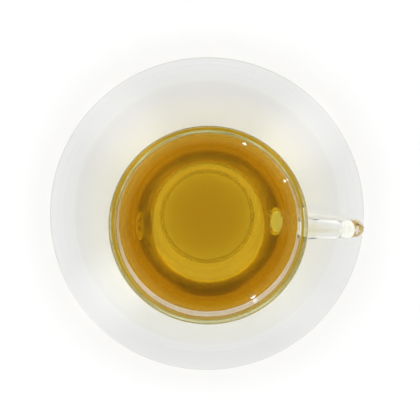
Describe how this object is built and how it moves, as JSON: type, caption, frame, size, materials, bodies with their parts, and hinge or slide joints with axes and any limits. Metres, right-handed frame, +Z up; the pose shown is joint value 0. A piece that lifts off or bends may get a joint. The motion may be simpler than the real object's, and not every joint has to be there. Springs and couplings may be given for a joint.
{
  "type": "glass cup of tea on a glass saucer",
  "caption": "Clear glass tea cup with a rounded loop handle, filled with golden-brown tea and standing on a clear glass saucer.",
  "frame": {"origin": "centre of the saucer's foot ring, on the surface that it stands on", "axes": "+Z up, +X from the cup's axis towards the middle of its handle"},
  "size_m": [0.14, 0.14, 0.062],
  "materials": {
    "saucer_glass": "clear, smooth and fire-polished, colourless",
    "cup_glass": "clear, smooth and fire-polished, colourless",
    "tea": "clear golden-brown liquid with a still, glossy surface"
  },
  "bodies": {
    "root": {"saucer": "saucer_glass", "cup": "cup_glass", "tea": "tea"}
  },
  "joints": []
}
